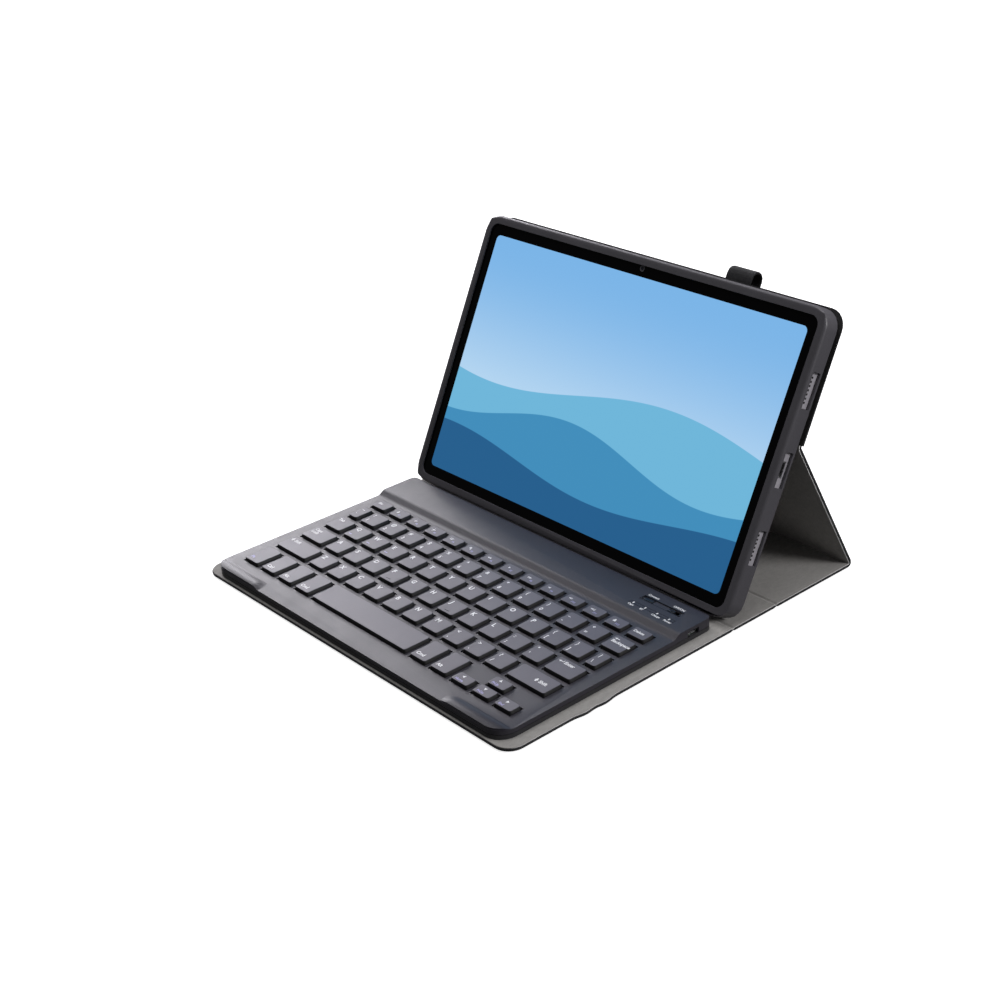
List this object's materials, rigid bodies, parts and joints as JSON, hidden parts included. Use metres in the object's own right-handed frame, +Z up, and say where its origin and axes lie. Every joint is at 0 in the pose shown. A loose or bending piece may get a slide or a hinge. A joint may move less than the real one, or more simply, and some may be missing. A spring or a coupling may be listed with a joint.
{
  "type": "tablet keyboard case",
  "caption": "Folding cover with a slim wireless keyboard and a soft shell that holds a tablet upright on a folded stand.",
  "frame": {"origin": "middle of the case's footprint, on the surface that it lies on", "axes": "+X along the width, to the right of a person typing; +Y from the keyboard's front edge to the stand; +Z up"},
  "size_m": [0.264, 0.2528, 0.1555],
  "materials": {
    "skin_leather": "grained black",
    "board_grey": "plain board",
    "lining_fabric": "fine microfibre",
    "magnet_strip": "matt",
    "shell_rubber": "satin",
    "tablet_housing": "satin grey",
    "display_panel": "lit colour stripes",
    "cover_glass": "polished black",
    "elastic_band": "woven",
    "case_plastic": "fine matt charcoal",
    "tray_plastic": "fine matt charcoal",
    "key_plastic": "matt with white legends",
    "steel": "brushed",
    "dome_silicone": "translucent matt",
    "circuit_green": "solder mask",
    "battery_foil": "silver foil",
    "smoked_window": "smoked"
  },
  "bodies": {
    "front_cover": {"front_skin": "skin_leather", "front_board": "board_grey", "front_lining": "lining_fabric", "cover_magnet_strip": "magnet_strip"},
    "keyboard": {"keyboard_top_case": "case_plastic", "keyboard_bottom_case": "tray_plastic", "support_plate": "steel", "dome_sheet": "dome_silicone", "circuit_board": "circuit_green", "battery": "battery_foil", "charging_socket": "steel", "status_window": "smoked_window"},
    "spine": {"spine_skin": "skin_leather", "spine_board": "board_grey", "spine_lining": "lining_fabric"},
    "floor_panel": {"floor_skin": "skin_leather", "floor_board": "board_grey", "floor_lining": "lining_fabric"},
    "stand": {"strut_skin": "skin_leather", "strut_board": "board_grey", "strut_lining": "lining_fabric"},
    "tablet_side": {"back_skin": "skin_leather", "back_board": "board_grey", "tablet_shell": "shell_rubber", "pen_loop": "elastic_band", "tablet_housing": "tablet_housing", "tablet_display": "display_panel", "tablet_glass": "cover_glass"},
    "power_switch": {"power_switch": "key_plastic"},
    "connect_button": {"connect_button": "key_plastic"},
    "key_alt_left": {"key_alt_left": "key_plastic"},
    "key_alt_right": {"key_alt_right": "key_plastic"},
    "key_backslash": {"key_backslash": "key_plastic"},
    "key_backspace": {"key_backspace": "key_plastic"},
    "key_caps": {"key_caps": "key_plastic"},
    "key_command_left": {"key_command_left": "key_plastic"},
    "key_command_right": {"key_command_right": "key_plastic"},
    "key_ctrl": {"key_ctrl": "key_plastic"},
    "key_down": {"key_down": "key_plastic"},
    "key_enter": {"key_enter": "key_plastic"},
    "key_fn": {"key_fn": "key_plastic"},
    "key_grave": {"key_grave": "key_plastic"},
    "key_left": {"key_left": "key_plastic"},
    "key_right": {"key_right": "key_plastic"},
    "key_shift_left": {"key_shift_left": "key_plastic"},
    "key_shift_right": {"key_shift_right": "key_plastic"},
    "key_space": {"key_space": "key_plastic"},
    "key_tab": {"key_tab": "key_plastic"},
    "key_up": {"key_up": "key_plastic"},
    "keys_function_left": {"keys_function_left": "key_plastic"},
    "keys_function_right": {"keys_function_right": "key_plastic"},
    "keys_home_left": {"keys_home_left": "key_plastic"},
    "keys_home_right": {"keys_home_right": "key_plastic"},
    "keys_lower_left": {"keys_lower_left": "key_plastic"},
    "keys_lower_right": {"keys_lower_right": "key_plastic"},
    "keys_number_left": {"keys_number_left": "key_plastic"},
    "keys_number_right": {"keys_number_right": "key_plastic"},
    "keys_upper_left": {"keys_upper_left": "key_plastic"},
    "keys_upper_right": {"keys_upper_right": "key_plastic"}
  },
  "joints": [
    {"name": "first_spine_fold", "type": "hinge", "parent": "front_cover", "child": "spine", "pos_m": [0, 0.0295, 0.0012], "axis": [1, 0, 0], "range_deg": [-90, 20]},
    {"name": "second_spine_fold", "type": "hinge", "parent": "spine", "child": "floor_panel", "pos_m": [0, 0.0635, 0.0012], "axis": [1, 0, 0], "range_deg": [-90, 0]},
    {"name": "stand_fold", "type": "hinge", "parent": "floor_panel", "child": "stand", "pos_m": [0, 0.1265, 0.0012], "axis": [1, 0, 0], "range_deg": [-119, 0]},
    {"name": "back_fold", "type": "hinge", "parent": "stand", "child": "tablet_side", "pos_m": [0, 0.07872, 0.0874], "axis": [1, 0, 0], "range_deg": [0, 56.21]},
    {"name": "keyboard_lift", "type": "slide", "parent": "front_cover", "child": "keyboard", "axis": [0, 0, 1], "range_m": [0, 0.02]},
    {"name": "power_switch_slide", "type": "slide", "parent": "keyboard", "child": "power_switch", "axis": [1, 0, 0], "range_m": [0, 0.003]},
    {"name": "connect_button_press", "type": "slide", "parent": "keyboard", "child": "connect_button", "axis": [0, 0, -1], "range_m": [0, 0.0005], "stiffness_N_per_m": 600},
    {"name": "key_space_press", "type": "slide", "parent": "keyboard", "child": "key_space", "axis": [0, 0, -1], "range_m": [0, 0.0012], "stiffness_N_per_m": 400},
    {"name": "key_enter_press", "type": "slide", "parent": "keyboard", "child": "key_enter", "axis": [0, 0, -1], "range_m": [0, 0.0012], "stiffness_N_per_m": 400},
    {"name": "key_shift_left_press", "type": "slide", "parent": "keyboard", "child": "key_shift_left", "axis": [0, 0, -1], "range_m": [0, 0.0012], "stiffness_N_per_m": 400},
    {"name": "key_shift_right_press", "type": "slide", "parent": "keyboard", "child": "key_shift_right", "axis": [0, 0, -1], "range_m": [0, 0.0012], "stiffness_N_per_m": 400},
    {"name": "key_caps_press", "type": "slide", "parent": "keyboard", "child": "key_caps", "axis": [0, 0, -1], "range_m": [0, 0.0012], "stiffness_N_per_m": 400},
    {"name": "key_tab_press", "type": "slide", "parent": "keyboard", "child": "key_tab", "axis": [0, 0, -1], "range_m": [0, 0.0012], "stiffness_N_per_m": 400},
    {"name": "key_backspace_press", "type": "slide", "parent": "keyboard", "child": "key_backspace", "axis": [0, 0, -1], "range_m": [0, 0.0012], "stiffness_N_per_m": 400},
    {"name": "key_up_press", "type": "slide", "parent": "keyboard", "child": "key_up", "axis": [0, 0, -1], "range_m": [0, 0.0012], "stiffness_N_per_m": 400},
    {"name": "key_down_press", "type": "slide", "parent": "keyboard", "child": "key_down", "axis": [0, 0, -1], "range_m": [0, 0.0012], "stiffness_N_per_m": 400},
    {"name": "key_left_press", "type": "slide", "parent": "keyboard", "child": "key_left", "axis": [0, 0, -1], "range_m": [0, 0.0012], "stiffness_N_per_m": 400},
    {"name": "key_right_press", "type": "slide", "parent": "keyboard", "child": "key_right", "axis": [0, 0, -1], "range_m": [0, 0.0012], "stiffness_N_per_m": 400},
    {"name": "key_fn_press", "type": "slide", "parent": "keyboard", "child": "key_fn", "axis": [0, 0, -1], "range_m": [0, 0.0012], "stiffness_N_per_m": 400},
    {"name": "key_ctrl_press", "type": "slide", "parent": "keyboard", "child": "key_ctrl", "axis": [0, 0, -1], "range_m": [0, 0.0012], "stiffness_N_per_m": 400},
    {"name": "key_alt_left_press", "type": "slide", "parent": "keyboard", "child": "key_alt_left", "axis": [0, 0, -1], "range_m": [0, 0.0012], "stiffness_N_per_m": 400},
    {"name": "key_command_left_press", "type": "slide", "parent": "keyboard", "child": "key_command_left", "axis": [0, 0, -1], "range_m": [0, 0.0012], "stiffness_N_per_m": 400},
    {"name": "key_command_right_press", "type": "slide", "parent": "keyboard", "child": "key_command_right", "axis": [0, 0, -1], "range_m": [0, 0.0012], "stiffness_N_per_m": 400},
    {"name": "key_alt_right_press", "type": "slide", "parent": "keyboard", "child": "key_alt_right", "axis": [0, 0, -1], "range_m": [0, 0.0012], "stiffness_N_per_m": 400},
    {"name": "key_grave_press", "type": "slide", "parent": "keyboard", "child": "key_grave", "axis": [0, 0, -1], "range_m": [0, 0.0012], "stiffness_N_per_m": 400},
    {"name": "key_backslash_press", "type": "slide", "parent": "keyboard", "child": "key_backslash", "axis": [0, 0, -1], "range_m": [0, 0.0012], "stiffness_N_per_m": 400},
    {"name": "keys_function_left_press", "type": "slide", "parent": "keyboard", "child": "keys_function_left", "axis": [0, 0, -1], "range_m": [0, 0.0012], "stiffness_N_per_m": 400},
    {"name": "keys_function_right_press", "type": "slide", "parent": "keyboard", "child": "keys_function_right", "axis": [0, 0, -1], "range_m": [0, 0.0012], "stiffness_N_per_m": 400},
    {"name": "keys_home_left_press", "type": "slide", "parent": "keyboard", "child": "keys_home_left", "axis": [0, 0, -1], "range_m": [0, 0.0012], "stiffness_N_per_m": 400},
    {"name": "keys_home_right_press", "type": "slide", "parent": "keyboard", "child": "keys_home_right", "axis": [0, 0, -1], "range_m": [0, 0.0012], "stiffness_N_per_m": 400},
    {"name": "keys_lower_left_press", "type": "slide", "parent": "keyboard", "child": "keys_lower_left", "axis": [0, 0, -1], "range_m": [0, 0.0012], "stiffness_N_per_m": 400},
    {"name": "keys_lower_right_press", "type": "slide", "parent": "keyboard", "child": "keys_lower_right", "axis": [0, 0, -1], "range_m": [0, 0.0012], "stiffness_N_per_m": 400},
    {"name": "keys_number_left_press", "type": "slide", "parent": "keyboard", "child": "keys_number_left", "axis": [0, 0, -1], "range_m": [0, 0.0012], "stiffness_N_per_m": 400},
    {"name": "keys_number_right_press", "type": "slide", "parent": "keyboard", "child": "keys_number_right", "axis": [0, 0, -1], "range_m": [0, 0.0012], "stiffness_N_per_m": 400},
    {"name": "keys_upper_left_press", "type": "slide", "parent": "keyboard", "child": "keys_upper_left", "axis": [0, 0, -1], "range_m": [0, 0.0012], "stiffness_N_per_m": 400},
    {"name": "keys_upper_right_press", "type": "slide", "parent": "keyboard", "child": "keys_upper_right", "axis": [0, 0, -1], "range_m": [0, 0.0012], "stiffness_N_per_m": 400}
  ],
  "couplings": [
    {"joint": "back_fold", "follows": "stand_fold", "ratio": -0.47228}
  ]
}
